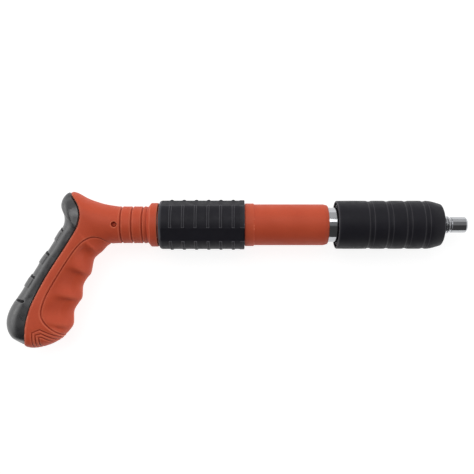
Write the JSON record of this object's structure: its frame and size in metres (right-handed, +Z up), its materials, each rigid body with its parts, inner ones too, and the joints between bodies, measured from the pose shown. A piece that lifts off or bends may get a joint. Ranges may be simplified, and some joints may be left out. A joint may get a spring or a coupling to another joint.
{
  "type": "manual impact nail driver",
  "caption": "Two-handed impact nail driver: pistol grip with rubber back strap, ribbed sleeve, orange housing and a nozzle that slides back on its barrel.",
  "frame": {"origin": "bottom centre of the object's box, lying on its side", "axes": "+X along the barrel towards the nozzle, +Y towards the barrel side away from the grip, +Z up through the tool's side"},
  "size_m": [0.3848, 0.13, 0.042],
  "materials": {
    "orange_plastic": "fine moulded texture, satin",
    "strap_rubber": "soft matte overmould",
    "sleeve_rubber": "satin moulded rubber",
    "chrome": "bright plated",
    "steel": "turned",
    "spring_steel": "drawn wire",
    "black_steel": "blackened",
    "buffer_rubber": "moulded",
    "brass": "turned"
  },
  "bodies": {
    "grip_body": {"handle_shell_upper": "orange_plastic", "handle_shell_lower": "orange_plastic", "back_strap": "strap_rubber", "handle_screw_1": "black_steel", "handle_screw_2": "black_steel", "handle_screw_3": "black_steel", "cross_pin": "black_steel", "striker_cylinder": "steel", "rear_plug": "steel", "buffer_pad": "buffer_rubber", "rear_bush": "steel", "guide_bush": "steel", "front_housing": "orange_plastic", "mid_grip_sleeve": "sleeve_rubber", "front_bush": "brass", "main_spring": "spring_steel", "return_spring": "spring_steel"},
    "front_assembly": {"barrel_tube": "chrome", "stop_ring": "spring_steel", "nose_bush": "steel", "nozzle": "chrome", "nozzle_o_ring": "buffer_rubber", "lock_nut": "steel", "sleeve_liner": "steel", "front_sleeve": "sleeve_rubber", "pin_spring": "spring_steel"},
    "striker": {"hammer": "steel", "sear_ring": "spring_steel"},
    "sear": {"sear_block": "steel"},
    "drive_pin_set": {"drive_pin": "steel", "pin_collar": "steel"}
  },
  "joints": [
    {"name": "front_slide", "type": "slide", "parent": "grip_body", "child": "front_assembly", "axis": [-1, 0, 0], "range_m": [0, 0.025], "stiffness_N_per_m": 800, "springref_m": -0.012, "deforming": ["return_spring", "main_spring"]},
    {"name": "hammer_strike", "type": "slide", "parent": "front_assembly", "child": "striker", "axis": [1, 0, 0], "range_m": [0, 0.02], "stiffness_N_per_m": 150, "deforming": ["pin_spring"]},
    {"name": "drive_pin_slide", "type": "slide", "parent": "front_assembly", "child": "drive_pin_set", "axis": [1, 0, 0], "range_m": [0, 0.02], "stiffness_N_per_m": 250},
    {"name": "sear_slide", "type": "slide", "parent": "striker", "child": "sear", "axis": [0, -1, 0], "range_m": [0, 0.0022], "stiffness_N_per_m": 150}
  ],
  "couplings": [
    {"joint": "drive_pin_slide", "follows": "hammer_strike", "ratio": 1}
  ]
}
